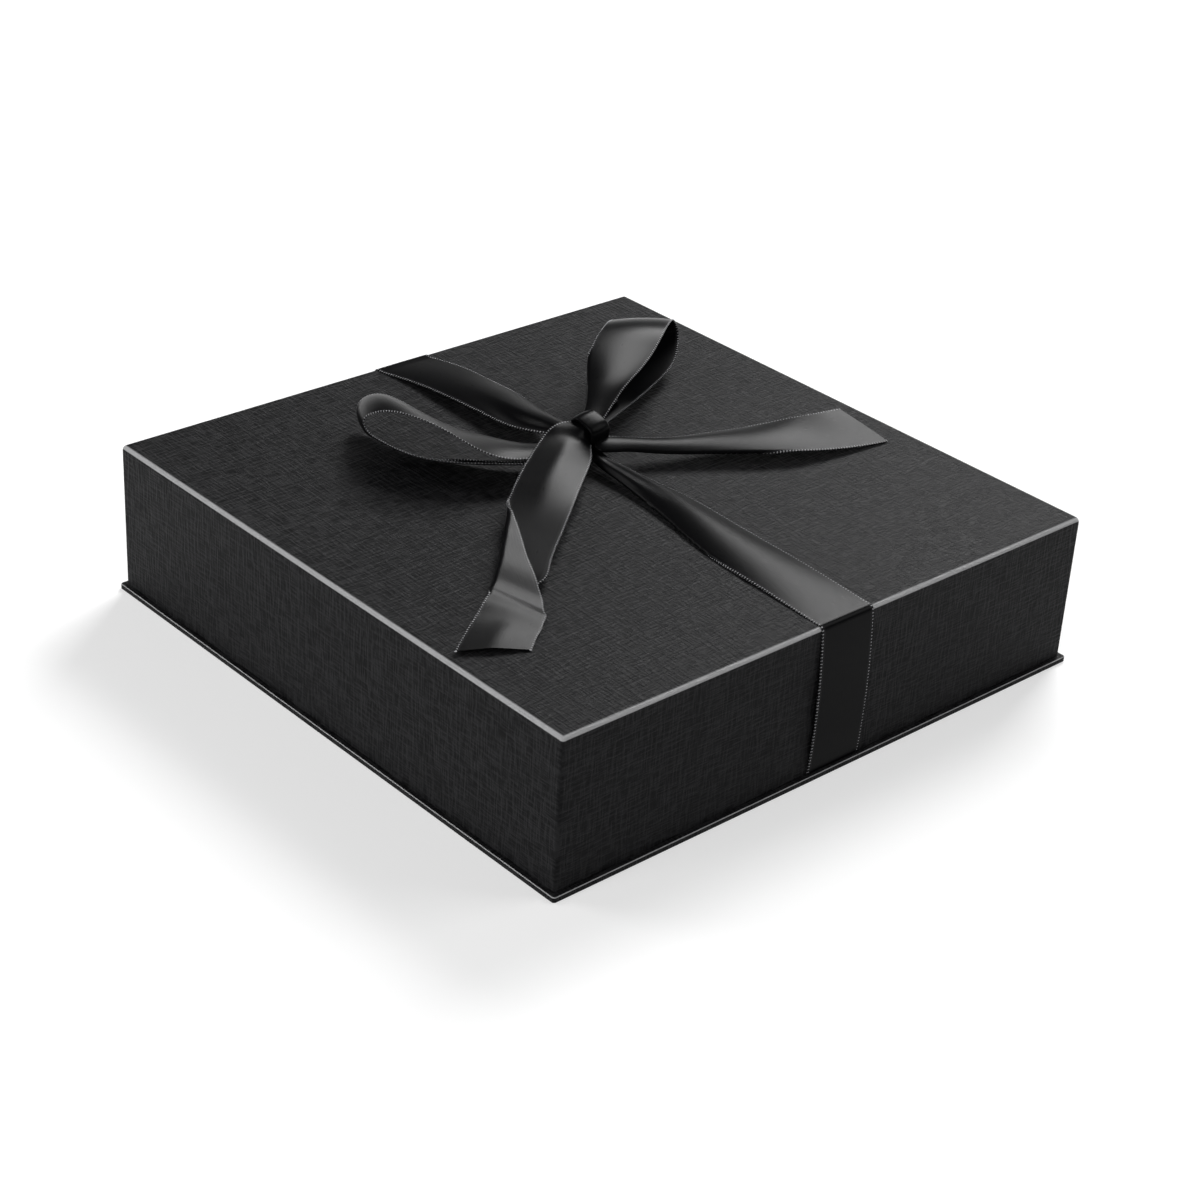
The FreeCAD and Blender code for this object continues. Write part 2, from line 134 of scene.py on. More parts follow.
# %% Raised threads of the linen embossing
THREAD_PITCH = 1.1            # mm from thread to thread
THREAD_RUN = 9.0              # mm that one thread stays on top
THREAD_RISE = (0.40, 0.72)    # levels of the noise where a thread starts to rise and is full
THREAD_SHIFT = 7.0            # steps through the noise from one thread set to the next
END_ON = (0.55, 0.8)          # how squarely a face meets a thread's end when it fades and is gone


def raised_threads(tree, axes, facing, index):
    """Height, from 0 to 1, of the threads along one axis, on the faces that show them."""
    one, other = [axes.outputs[i] for i in range(3) if i != index]
    across = add_node(tree, "ShaderNodeMath", {0: one, 1: other}, operation="ADD")
    run = add_node(tree, "ShaderNodeMath", {0: axes.outputs[index], 1: 1 / (THREAD_RUN * MM)},
                   operation="MULTIPLY")
    row = add_node(tree, "ShaderNodeMath", {0: across.outputs[0], 1: 1 / (THREAD_PITCH * MM)},
                   operation="MULTIPLY")
    spot = add_node(tree, "ShaderNodeCombineXYZ", {
        0: run.outputs[0], 1: row.outputs[0], 2: THREAD_SHIFT * index})
    noise = add_node(tree, "ShaderNodeTexNoise", {
        "Vector": spot.outputs[0], "Scale": 1.0, "Detail": 2.0, "Roughness": 0.6})
    thread = add_node(tree, "ShaderNodeMapRange", {
        "Value": noise.outputs["Fac"], "From Min": THREAD_RISE[0], "From Max": THREAD_RISE[1]},
        interpolation_type="SMOOTHSTEP")
    tilt = add_node(tree, "ShaderNodeMath", {0: facing.outputs[index]}, operation="ABSOLUTE")
    seen = add_node(tree, "ShaderNodeMapRange", {
        "Value": tilt.outputs[0], "From Min": END_ON[0], "From Max": END_ON[1], "To Min": 1.0, "To Max": 0.0})
    shown = add_node(tree, "ShaderNodeMath", {0: thread.outputs[0], 1: seen.outputs[0]}, operation="MULTIPLY")
    return shown.outputs[0]


print("threads every", THREAD_PITCH, "mm, each on top for about", THREAD_RUN, "mm")

# %% [markdown]
# To the eye this paper is matt and nearly black. Light catches on the raised threads, which are painted a
# little greyer as a painted highlight, and most of all along the lid's rounded edges, where the paper is
# folded over the
# board: there a light grey is painted in as a painted highlight, with a smoother gloss. The fold is found
# from the slope of the surface, so no edge has to be marked.

# %% Black linen-embossed cover paper
EMBOSS_DEPTH = 0.14           # mm
FOLD_SLOPE = 0.62             # upright part of the normal in the middle of a folded edge
FOLD_BAND = (0.36, 0.24)      # off that slope, where the fold's tone starts and is full
PAPER_BLACK = "#0e0e0f"
# Painted highlight: the raised threads are painted this lighter grey, where light catches them.
RAISED_THREAD_HIGHLIGHT_GREY = "#222223"
# Painted highlight: the rounded folded edges of the lid are painted this light grey.
FOLD_HIGHLIGHT_GREY = "#a2a2a3"
PAPER_ROUGHNESS = 0.46
FOLD_ROUGHNESS = 0.36
PAPER_SHINE = 0.045           # specular level


def fold_highlight_mask(tree, facing):
    """1 where the paper is folded over a rounded edge and the highlight is painted, and 0 on the flat faces.
    """
    tilt = add_node(tree, "ShaderNodeMath", {0: facing.outputs[2]}, operation="ABSOLUTE")
    off_slope = add_node(tree, "ShaderNodeMath", {0: tilt.outputs[0], 1: FOLD_SLOPE}, operation="SUBTRACT")
    away = add_node(tree, "ShaderNodeMath", {0: off_slope.outputs[0]}, operation="ABSOLUTE")
    fold = add_node(tree, "ShaderNodeMapRange", {
        "Value": away.outputs[0], "From Min": FOLD_BAND[0], "From Max": FOLD_BAND[1]})
    return fold.outputs[0]


def linen_paper():
    material, tree, output = new_material("black_linen_embossed_paper")
    place = add_node(tree, "ShaderNodeTexCoord")
    axes = add_node(tree, "ShaderNodeSeparateXYZ", {0: place.outputs["Object"]})
    facing = add_node(tree, "ShaderNodeSeparateXYZ", {0: place.outputs["Normal"]})
    relief = raised_threads(tree, axes, facing, 0)
    for index in (1, 2):
        more = raised_threads(tree, axes, facing, index)
        relief = add_node(tree, "ShaderNodeMath", {0: relief, 1: more}, operation="ADD").outputs[0]
    fold = fold_highlight_mask(tree, facing)
    # Painted highlight: the raised threads are mixed in lighter than the paper.
    tone = add_node(tree, "ShaderNodeMix", {
        "Factor": relief, "A": linear(PAPER_BLACK), "B": linear(RAISED_THREAD_HIGHLIGHT_GREY)}, data_type="RGBA")
    # Painted highlight: the folded edges are mixed to a light grey.
    colour = add_node(tree, "ShaderNodeMix", {
        "Factor": fold, "A": tone.outputs["Result"], "B": linear(FOLD_HIGHLIGHT_GREY)}, data_type="RGBA")
    rough = add_node(tree, "ShaderNodeMapRange", {
        "Value": fold, "To Min": PAPER_ROUGHNESS, "To Max": FOLD_ROUGHNESS})
    bump = add_node(tree, "ShaderNodeBump", {
        "Height": relief, "Strength": 1.0, "Distance": EMBOSS_DEPTH * MM})
    shader = add_node(tree, "ShaderNodeBsdfPrincipled", {
        "Base Color": colour.outputs["Result"], "Roughness": rough.outputs[0], "Normal": bump.outputs[0],
        "Specular IOR Level": PAPER_SHINE})
    tree.links.new(shader.outputs[0], output.inputs["Surface"])
    return material


cover_paper = linen_paper()
print(cover_paper.name, "is embossed", EMBOSS_DEPTH, "mm deep")

# %% [markdown]
# Inside, the box is plainer: smooth black lining paper, bare grey board that no one sees once it is
# covered, and the gummed tapes that close the board's corners. They still get their own finishes, because
# the lid lifts and the model may be taken apart. All three are pulp, so one function makes them.

# %% Lining paper, greyboard and gummed tape
FIBRE_DEPTH = 0.05            # mm
FIBRE_SHOW = 0.4              # strength of the relief
PULP_SHINE = 0.2              # specular level


def fibrous_paper(name, dark, light, fibre, roughness):
    """Uncoated paper or board: cloudy pulp with fibres of a given size in mm."""
    material, tree, output = new_material(name)
    place = add_node(tree, "ShaderNodeTexCoord")
    pulp = add_node(tree, "ShaderNodeTexNoise", {
        "Vector": place.outputs["Object"], "Scale": 1 / (fibre * MM), "Detail": 5.0, "Roughness": 0.65})
    colour = add_node(tree, "ShaderNodeMix", {
        "Factor": pulp.outputs["Fac"], "A": linear(dark), "B": linear(light)}, data_type="RGBA")
    bump = add_node(tree, "ShaderNodeBump", {
        "Height": pulp.outputs["Fac"], "Strength": FIBRE_SHOW, "Distance": FIBRE_DEPTH * MM})
    shader = add_node(tree, "ShaderNodeBsdfPrincipled", {
        "Base Color": colour.outputs["Result"], "Normal": bump.outputs[0], "Roughness": roughness,
        "Specular IOR Level": PULP_SHINE})
    tree.links.new(shader.outputs[0], output.inputs["Surface"])
    return material


# The lining is an even, dull black; the millboard is a warm, cloudy grey; the kraft tape is tan and smoother.
lining_paper = fibrous_paper("black_lining_paper", "#171718", "#202021", 1.5, 0.8)
greyboard = fibrous_paper("grey_millboard", "#8f8a82", "#a8a299", 2.5, 0.9)
gummed_tape = fibrous_paper("brown_gummed_tape", "#a98a5c", "#bb9c6e", 1.2, 0.6)
print("made", lining_paper.name, greyboard.name, "and", gummed_tape.name)

# %% [markdown]
# Now each solid gets its finish: linen paper outside, lining paper inside and under the base, and the bare
# board and tape where the papers hide them. Only the materials change, because the solids are exact already.

# %% Dress the box
FINISHES = {
    "lid_wrap": cover_paper, "tray_wrap": cover_paper, "base_wrap": cover_paper,
    "lid_liner": lining_paper, "tray_liner": lining_paper, "base_sheet": lining_paper,
    "lid_board": greyboard, "tray_board": greyboard, "base_board": greyboard,
    "lid_corner_stays": gummed_tape, "tray_corner_stays": gummed_tape,
}
for node, finish in FINISHES.items():
    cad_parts[node].data.materials.clear()
    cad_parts[node].data.materials.append(finish)
print("dressed", len(FINISHES), "pieces of the box")

# %% [markdown]
# Satin is woven so that the warp threads float over the weft on the face. The floats lie side by side along
# the ribbon and make it shine in streaks across its folds, while the black dye keeps everything else dark.
# The shine is an anisotropic gloss that follows the ribbon's own length, which is why the cloth carries a UV
# map in millimetres. The floats are a quarter of a millimetre apart, too fine for the picture, so they
# are drawn twice as coarse.

# %% Black polyester satin
RIBBON_WIDTH = 25.0           # mm
FLOAT_PITCH = 0.5             # mm from float to float, as drawn
FLOAT_SLIMNESS = 0.12         # width of a float over its length
FLOAT_HIGH = 0.04             # mm
FLOAT_SHOW = 0.5              # strength of the relief
SELVEDGE = 1.3                # mm of plain weave along each edge
SELVEDGE_FADE = 0.2           # mm from the satin to the plain weave
SATIN_BLACK = "#080809"
SELVEDGE_GREY = "#171718"
SATIN_ROUGHNESS = (0.25, 0.35)
SATIN_SHINE = 0.038           # specular level
SATIN_STREAK = 0.4            # anisotropy
STREAK_TURN = 0.25            # of a full turn, from along the ribbon to across it


def satin():
    material, tree, output = new_material("black_satin_ribbon")
    unwrapped = add_node(tree, "ShaderNodeUVMap", uv_map="ribbon")
    mm = add_node(tree, "ShaderNodeSeparateXYZ", {0: unwrapped.outputs[0]})
    run = add_node(tree, "ShaderNodeMath", {0: mm.outputs[0], 1: FLOAT_SLIMNESS / FLOAT_PITCH},
                   operation="MULTIPLY")
    row = add_node(tree, "ShaderNodeMath", {0: mm.outputs[1], 1: 1 / FLOAT_PITCH}, operation="MULTIPLY")
    spot = add_node(tree, "ShaderNodeCombineXYZ", {0: run.outputs[0], 1: row.outputs[0]})
    floats = add_node(tree, "ShaderNodeTexNoise", {"Vector": spot.outputs[0], "Scale": 1.0, "Detail": 1.0})
    middle = add_node(tree, "ShaderNodeMath", {0: mm.outputs[1], 1: RIBBON_WIDTH / 2}, operation="SUBTRACT")
    off_middle = add_node(tree, "ShaderNodeMath", {0: middle.outputs[0]}, operation="ABSOLUTE")
    inner = RIBBON_WIDTH / 2 - SELVEDGE
    edge = add_node(tree, "ShaderNodeMapRange", {
        "Value": off_middle.outputs[0], "From Min": inner - SELVEDGE_FADE, "From Max": inner})
    colour = add_node(tree, "ShaderNodeMix", {
        "Factor": edge.outputs[0], "A": linear(SATIN_BLACK), "B": linear(SELVEDGE_GREY)}, data_type="RGBA")
    rough = add_node(tree, "ShaderNodeMapRange", {
        "Value": floats.outputs["Fac"], "To Min": SATIN_ROUGHNESS[0], "To Max": SATIN_ROUGHNESS[1]})
    bump = add_node(tree, "ShaderNodeBump", {
        "Height": floats.outputs["Fac"], "Strength": FLOAT_SHOW, "Distance": FLOAT_HIGH * MM})
    length = add_node(tree, "ShaderNodeTangent", direction_type="UV_MAP", uv_map="ribbon")
    shader = add_node(tree, "ShaderNodeBsdfPrincipled", {
        "Base Color": colour.outputs["Result"], "Roughness": rough.outputs[0], "Normal": bump.outputs[0],
        "Specular IOR Level": SATIN_SHINE, "Anisotropic": SATIN_STREAK, "Anisotropic Rotation": STREAK_TURN,
        "Tangent": length.outputs[0]})
    tree.links.new(shader.outputs[0], output.inputs["Surface"])
    return material


ribbon_satin = satin()
print("ribbon", RIBBON_WIDTH, "mm wide with a selvedge of", SELVEDGE, "mm")

# %% [markdown]
# The thread along the ribbon's edges is twisted polyester, as black as the satin but smooth and glossier. Its
# glints are a painted highlight: the thread is painted pale grey, and its twist breaks the gloss into small
# glints.

# %% Glossy edge thread
# Painted highlight: the black thread is painted this pale grey for its glints.
STITCH_HIGHLIGHT_GREY = "#a0a0a3"
THREAD_TWIST = 0.8            # mm
THREAD_ROUGHNESS = (0.25, 0.5)
THREAD_GLOSS = 0.3            # specular level


def edge_thread():
    material, tree, output = new_material("glossy_edge_thread")
    place = add_node(tree, "ShaderNodeTexCoord")
    ply = add_node(tree, "ShaderNodeTexNoise", {
        "Vector": place.outputs["Object"], "Scale": 1 / (THREAD_TWIST * MM)})
    rough = add_node(tree, "ShaderNodeMapRange", {
        "Value": ply.outputs["Fac"], "To Min": THREAD_ROUGHNESS[0], "To Max": THREAD_ROUGHNESS[1]})
    shader = add_node(tree, "ShaderNodeBsdfPrincipled", {
        "Base Color": linear(STITCH_HIGHLIGHT_GREY), "Roughness": rough.outputs[0],
        "Specular IOR Level": THREAD_GLOSS})
    tree.links.new(shader.outputs[0], output.inputs["Surface"])
    return material


ribbon_thread = edge_thread()
print("edge thread of colour", STITCH_HIGHLIGHT_GREY)

# %% [markdown]
# The bow is tied from two lengths of ribbon, glued into the lid at the front and the back. A ribbon bends
# easily one way and hardly stretches, so each piece is described by a few stations along it: where its
# middle is, which way its width points, how wide it spreads there and how much it cups. The solids follow the
# same routes, drawn more simply at the knot and where the front tail rolls over.

# %% Routes of the ribbon
# Each station: x, y and height above the lid in mm; heading and tilt of the width in degrees; spread across
# in mm; then three heights in mm along the cloth's normal: the cup, a soft fold in the left half and one in
# the right half. The front tail rolls over, so its stations follow its right edge: x, y, height; heading of
# the width; lean, width and crown of its section; place and reach of the roll, as shares of the width.
BACK_ARM = [
    (4.5, 120.0, 0.2, 0, 0, 25, -0.2, 0, 0), (7.0, 104.0, 1.5, 0, 0, 25, -0.8, 0, 0),
    (7.5, 86.0, 2.6, 0, -2, 25, -1.4, 0, 0), (7.0, 66.0, 3.8, 10, -2, 24, -1.8, 0.6, 0),
    (5.0, 48.0, 5.4, 18, 0, 20, -2.2, 2.0, 0), (5.0, 35.0, 7.2, 20, 4, 13, -1.6, 1.2, 0),
    (9.0, 19.0, 7.6, 20, 0, 7, -0.8, 0, 0)]
FRONT_ARM = [
    (2.0, -120.0, 0.2, 0, 0, 25, 0.2, 0, 0), (3.0, -101.0, 0.5, 2, 0, 25, 0.8, 0, 0),
    (4.0, -77.0, 0.8, 3, 0, 24, 1.6, 0, 0), (5.5, -54.0, 1.2, 4, 0, 21, 2.2, 0, 0),
    (7.0, -36.0, 1.8, 8, 1, 17, 2.2, 0, 0), (7.0, -18.0, 2.6, 10, 2, 11.5, 1.6, 0.4, 0.4),
    (6.5, -4.5, 3.6, 16, 3, 8, 1.0, 0.6, 0.4), (6.5, 7.0, 4.8, 18, 3, 6.5, 0.8, 0.2, 0.2),
    (10.0, 17.0, 6.6, 10, 0, 6, 0.8, 0.2, 0.2)]
RIGHT_TAIL = [
    (10.0, 17.0, 8.8, 52, 8, 7, -0.8, 0, 0), (9.5, 12.5, 8.4, 50, 8, 9, -1.0, 0, 0),
    (16.5, 7.5, 7.6, 48, 6, 9, -1.0, 0, 0), (27.0, 1.5, 6.5, 44, 4, 9.5, -1.2, 0, 0),
    (44.0, -6.5, 5.6, 38, 2, 15, -1.4, 0, 0), (61.0, -14.0, 5.4, 44, 0, 21, -1.4, 0, 0),
    (81.0, -22.5, 5.2, 57, 4, 25, -1.0, 0, 0), (97.0, -26.0, 3.8, 73, 8, 25, -0.5, 0, 0),
    (111.0, -28.0, 2.8, 95, 11, 25, -0.2, 0, 0)]
LEFT_LOOP = [
    (9.0, 20.0, 8.4, 48, 0, 7, 0.8, 0, 0), (-11.0, 19.0, 8.0, 48, -2, 11.5, 1.0, 0, 0),
    (-24.0, 25.0, 9.5, 49, -6, 19, 1.2, 0, 0), (-32.0, 32.0, 12.4, 50, -13, 24, 1.0, 0, 0),
    (-38.5, 44.0, 15.6, 53, -20, 25, 0.8, 0, 0), (-43.0, 54.0, 18.0, 54, -18, 25, 0.8, 0, 0),
    (-46.5, 65.0, 18.6, 56, -12, 25, 1.0, 0, 0), (-49.5, 73.5, 15.6, 59, -11, 25, 1.0, 0, 0),
    (-51.0, 77.0, 11.0, 59, -16, 25, 1.0, 0, 0), (-52.0, 73.5, 7.6, 56, -22, 25, 1.0, 0, 0),
    (-52.5, 64.0, 6.1, 53, -26, 25, 0.6, 0, 0), (-50.5, 49.0, 5.9, 52, -26, 25, 0.4, 0, 0),
    (-41.5, 34.0, 5.9, 51, -26, 24, 0.4, 0, 0), (-28.5, 22.5, 6.2, 50, -26, 19, 0.6, 0, 0),
    (-11.0, 16.0, 5.4, 50, -22, 12, 0.8, 0, 0), (9.0, 19.0, 6.8, 50, -18, 7, 0.8, 0, 0)]
UPPER_LOOP = [
    (11.0, 19.0, 11.4, -48, -12, 7, 0.8, 0, 0), (20.0, 24.5, 13.8, -46, -12, 8.5, 1.0, 0, 0),
    (29.5, 31.0, 17.0, -38, -4, 13, 1.4, 0, 0), (40.0, 38.3, 19.4, -34, -4, 19.5, 1.6, 0, 0),
    (54.0, 48.0, 22.4, -33, -5, 25, 1.2, 0, 0), (65.0, 55.0, 24.0, -34, -3, 25, 0.8, 0, 0),
    (75.0, 62.0, 22.6, -31, -2, 25, 0.8, 0, 0), (83.0, 67.5, 17.8, -29, 0, 25, 0.8, 0, 0),
    (86.0, 68.5, 12.0, -31, 3, 25, 0.8, 0, 0), (82.0, 64.0, 8.0, -31, 4, 25, 0.8, 0, 0),
    (69.0, 54.5, 5.8, -28, 0, 25, 0.8, 0, 0), (54.0, 45.0, 5.4, -26, 0, 20, 0.8, 0, 0),
    (37.0, 35.0, 6.2, -32, 0, 13, 0.8, 0, 0), (12.0, 20.0, 9.8, -42, 0, 7, 0.8, 0, 0)]
FRONT_TAIL = [
    (12.0, 12.5, 8.0, -88, 75, 13, -80, 1.3, 0.2), (7.0, 12.2, 7.8, -86, 68, 13.5, -72, 1.3, 0.2),
    (3.5, 8.8, 8.2, -70, 36, 16.5, -26, 1.3, 0.2),
    (0.0, 4.5, 8.6, -67, 21, 19.5, -14, 1.3, 0.2), (-12.0, -6.0, 8.6, -62, 17, 22.5, -22, 1.3, 0.2),
    (-23.0, -14.5, 8.2, -57, 12, 23, -16, 1.3, 0.2), (-35.0, -24.0, 7.5, -59, 3, 23.5, -5, 1.05, 0.15),
    (-46.0, -32.5, 6.7, -60, 0, 25, 0, 0.85, 0.13), (-53.5, -38.0, 5.7, -60, 1, 27, 0, 0.74, 0.14),
    (-61.0, -44.0, 4.6, -61, 1, 29.5, 0, 0.65, 0.14), (-68.0, -49.5, 3.5, -62, 1, 33, 0, 0.56, 0.14),
    (-77.5, -49.0, 2.5, -63, 1, 30, 0, 0.39, 0.14), (-86.5, -45.6, 3.35, -63, 1, 22.5, 0, 0.11, 0.1),
    (-89.0, -45.8, 3.55, -63, 1, 21.7, 0, 0.04, 0.1), (-90.7, -46.9, 4.07, -62, 0.5, 21.5, 0, 0.005, 0.1),
    (-92.3, -48.1, 4.5, -61.5, -0.2, 21.5, 0, -0.025, 0.1),
    (-94.0, -49.2, 4.55, -60, -1, 21.5, 1, -0.05, 0.1),
    (-100.0, -53.0, 3.7, -54, -4, 22, 3, -0.15, 0.1), (-109.0, -58.5, 2.7, -43, -10, 23, 10, -0.3, 0.1),
    (-120.5, -66.0, 1.3, -31, -13, 25.5, 10, -0.3, 0.1)]
bow_routes = (LEFT_LOOP, UPPER_LOOP, FRONT_TAIL, RIGHT_TAIL)
print("stations in the loops and tails:", [len(route) for route in bow_routes])

# %% [markdown]
# A stiff ribbon takes the smoothest way through its stations. So does a natural cubic spline: it passes
# through every point and bends as little as it can. One spline carries all the values of a station at once,
# and it is cut into rows at even steps along the ribbon.

# %% Rows between the stations
ROW_STEP = 0.9            # mm between rows of the cloth


def smooth_rows(stations):
    """Rows on a natural cubic spline through the stations, evenly spaced along the ribbon."""
    values = np.array(stations, float)
    values[:, 2] += LID_TOP
    gaps = np.linalg.norm(np.diff(values[:, :3], axis=0), axis=1)
    marks = np.concatenate([[0.0], np.cumsum(gaps)])
    slopes = np.diff(values, axis=0) / gaps[:, None]
    count = len(values)
    system = np.eye(count)
    bends = np.zeros_like(values)
    for i in range(1, count - 1):
        system[i, i - 1:i + 2] = gaps[i - 1], 2 * (gaps[i - 1] + gaps[i]), gaps[i]
        bends[i] = 6 * (slopes[i] - slopes[i - 1])
    curve = np.linalg.solve(system, bends)
    places = np.linspace(0, marks[-1], int(marks[-1] / ROW_STEP) + 1)
    span = np.clip(np.searchsorted(marks, places, side="right") - 1, 0, count - 2)
    gap = gaps[span][:, None]
    before = (marks[span + 1] - places)[:, None]
    after = (places - marks[span])[:, None]
    bent = (curve[span] * before ** 3 + curve[span + 1] * after ** 3) / (6 * gap)
    return (bent + (values[span] / gap - curve[span] * gap / 6) * before
            + (values[span + 1] / gap - curve[span + 1] * gap / 6) * after)


print("the front tail has", len(smooth_rows(FRONT_TAIL)), "rows")

# %% [markdown]
# At the front and the back the ribbon goes over the lid's top edge, hangs down the wall in a slight bow,
# turns under the rim and is glued up the inside. That stretch is all straight runs and arcs, so it is
# worked out as a profile and put before the rows of the arm.

# %% The drops over the front and back walls
HALF_SOLID = 0.2          # mm from the wall to the middle of the ribbon's solid
EDGE_ROUND = 2.0          # mm, the lid's top edge
INNER_WALL = 122.5        # mm, inside face of the lid's wall
TUCK = 20.0               # mm glued up the inside
DROP_BOW = 1.2            # mm that the hanging ribbon stands off
DROP_CUP = 0.05           # mm
RIM_TURN = 0.3            # mm, radius under the rim
TUCK_ROWS, TURN_ROWS, FALL_ROWS, OVER_ROWS = 22, 5, 60, 12


def arc(centre_out, centre_up, radius, start, end, count):
    turn = np.radians(np.linspace(start, end, count))
    return np.column_stack([centre_out + radius * np.cos(turn), centre_up + radius * np.sin(turn)])


def drop_rows(middle, side):
    """Rows from the glued end inside the lid to its top panel; side is -1 at the front and 1 at the back."""
    inside = INNER_WALL - HALF_SOLID
    outside = LID_WALL + HALF_SOLID
    under = LID_RIM - HALF_SOLID
    low = under + RIM_TURN
    high = LID_TOP - EDGE_ROUND
    up = np.linspace(LID_RIM + TUCK, low, TUCK_ROWS, endpoint=False)
    tuck = np.column_stack([np.full(len(up), inside), up])
    inner_turn = arc(inside + RIM_TURN, low, RIM_TURN, 180, 270, TURN_ROWS)
    outer_turn = arc(outside - RIM_TURN, low, RIM_TURN, 270, 360, TURN_ROWS)
    share = np.linspace(-1, 1, FALL_ROWS)[1:-1]
    level = (low + high) / 2 + (high - low) / 2 * share
    fall = np.column_stack([outside + DROP_BOW * (1 - share ** 2), level])
    over = arc(LID_WALL - EDGE_ROUND, high, EDGE_ROUND + HALF_SOLID, 0, 90, OVER_ROWS)
    path = np.vstack([tuck, inner_turn, outer_turn, fall, over])
    rows = np.zeros((len(path), 9))
    rows[:, 0] = middle
    rows[:, 1] = side * path[:, 0]
    rows[:, 2] = path[:, 1]
    rows[:, 5] = RIBBON_WIDTH
    rows[:, 6] = -DROP_CUP * side
    return rows


print("a drop has", len(drop_rows(0.0, -1)), "rows, with", TUCK, "mm of ribbon inside the lid")

# %% [markdown]
# Each row of the cloth is first drawn as a fine line and then cut into even steps, the same number for every
# row. That keeps the grid regular, and no part of the cloth looks stretched.

# %% Even steps along a line
SECTION_POINTS = 41       # points across the ribbon
FINE_POINTS = 121         # points of the line that they are taken from


def at_lengths(points, lengths):
    """Points of a line at the given lengths along it."""
    marks = np.concatenate([[0], np.cumsum(np.hypot(*np.diff(points, axis=0).T))])
    across = np.interp(lengths, marks, points[:, 0])
    up = np.interp(lengths, marks, points[:, 1])
    return np.column_stack([across, up])


def evenly(points):
    """The same line with its points at even steps."""
    length = np.hypot(*np.diff(points, axis=0).T).sum()
    return at_lengths(points, np.linspace(0, length, SECTION_POINTS))


print("a row has", SECTION_POINTS, "points, about", round(RIBBON_WIDTH / (SECTION_POINTS - 1), 2), "mm apart")

# %% [markdown]
# Across each row the cloth lies in an arc, with a soft fold where one half sags or bulges. Cloth keeps its
# width, so where the ribbon is drawn in towards the knot and the arc is shorter than the ribbon is wide, the
# spare width is turned under along one edge.

# %% Cross-section of the ribbon
CURL_RADIUS = 0.5         # mm, where an edge is turned under
CURL_POINTS = 9           # points round the curl
TUCK_POINTS = 25          # points across the part that is turned under
TUCK_SHARE = 0.5          # of the spread, the most that can be turned under at one edge
LEAST_TUCK = 0.01         # mm
LEAST_CUP = 0.05          # mm
FOLD_REACH = 0.5          # of half the width, from the middle of a soft fold to its end


def soft_fold(share, middle):
    """Smooth hump of height 1 round the given place across the ribbon, where -1 and 1 are its edges."""
    away = np.clip((share - middle) / FOLD_REACH, -1, 1)
    return np.cos(math.pi / 2 * away) ** 2


def turned_under(points, spare, side):
    """Points that go on from the last one, curl to the given side, -1 or 1, and run back along the line."""
    ahead = np.gradient(points, axis=0)
    ahead /= np.linalg.norm(ahead, axis=1)[:, None]
    aside = np.column_stack([-ahead[:, 1], ahead[:, 0]])
    aside *= np.sign(aside[:, 1:]) * side
    turn = np.linspace(0, math.pi, CURL_POINTS)[:, None]
    curl = points[-1] + CURL_RADIUS * (np.sin(turn) * ahead[-1] + (1 - np.cos(turn)) * aside[-1])
    back = points + 2 * CURL_RADIUS * aside
    return at_lengths(np.vstack([curl, back[-2::-1]]), np.linspace(0, spare, TUCK_POINTS)[1:])


def ribbon_section(spread, cup, left_fold, right_fold, turned, side):
    """Points (across, up) of one row. turned shares the spare width between the left and the right edge."""
    way = 1.0 if cup > 0 else -1.0
    depth = max(abs(cup), LEAST_CUP)
    half_turn = 2 * math.atan(2 * depth / spread)
    radius = spread / (2 * math.sin(half_turn))
    share = np.linspace(-1, 1, FINE_POINTS)
    turn = share * half_turn
    fold = left_fold * soft_fold(share, -FOLD_REACH) + right_fold * soft_fold(share, FOLD_REACH)
    points = np.column_stack([(radius + way * fold) * np.sin(turn),
                              way * radius * (np.cos(turn) - math.cos(half_turn)) + fold * np.cos(turn)])
    spare = RIBBON_WIDTH - np.hypot(*np.diff(points, axis=0).T).sum()
    left, right = np.clip(np.array(turned) * spare, 0, TUCK_SHARE * spread + math.pi * CURL_RADIUS)
    if left > LEAST_TUCK:
        points = np.vstack([turned_under(points[::-1], left, side)[::-1], points])
    if right > LEAST_TUCK:
        points = np.vstack([points, turned_under(points, right, side)])
    return evenly(points)


flat_row = ribbon_section(RIBBON_WIDTH, LEAST_CUP, 0, 0, (0, 0), 1)
print("laid nearly flat, a row spans", round(flat_row[-1, 0] - flat_row[0, 0], 2), "mm")

# %% [markdown]
# The front tail rolls right over on its way down and shows its other face. No arc does that, so its sections
# are worked out another way: step by step from its right edge, through the roll and on to its left edge,
# with the direction known at every step.

# %% Cross-section that rolls over
ROLL_TURN = 190           # degrees that the front tail rolls over
CROWN_REACH = 0.2         # of its width, over which its crown bends


def rolled_section(lean, width, crown, place, reach):
    """Points (across, up) from the left edge to the right one, which is at 0, 0, of cloth that rolls over.

    Seen from the right edge the cloth sets off to the left at the lean and bends by the crown in its
    middle, both in degrees; the roll is round a place and over a reach, both shares of the width, and
    beyond 0 or 1 it has passed the edge.
    """
    share = np.linspace(0, 1, FINE_POINTS)
    rolled = np.clip((share - place) / reach + 0.5, 0, 1)
    bent = np.clip((share - 0.5) / CROWN_REACH + 0.5, 0, 1)
    way = np.radians(lean + crown * bent + ROLL_TURN * rolled)
    steps = np.column_stack([-np.cos(way), np.sin(way)]) * width / (len(share) - 1)
    points = np.vstack([[0, 0], np.cumsum((steps[1:] + steps[:-1]) / 2, axis=0)])
    return evenly(points[::-1])


print("the front tail rolls over by", ROLL_TURN, "degrees")

# %% [markdown]
# Two things are done to every piece of cloth. It gets a UV map in millimetres along and across, which the
# satin's floats follow, and Solidify gives the bare sheet the ribbon's thickness.

# %% Unwrap and thicken
RIBBON_THICK = 0.35       # mm
SHARPEST_BEND = 60        # degrees; the cloth's own rim is sharper and stays crisp


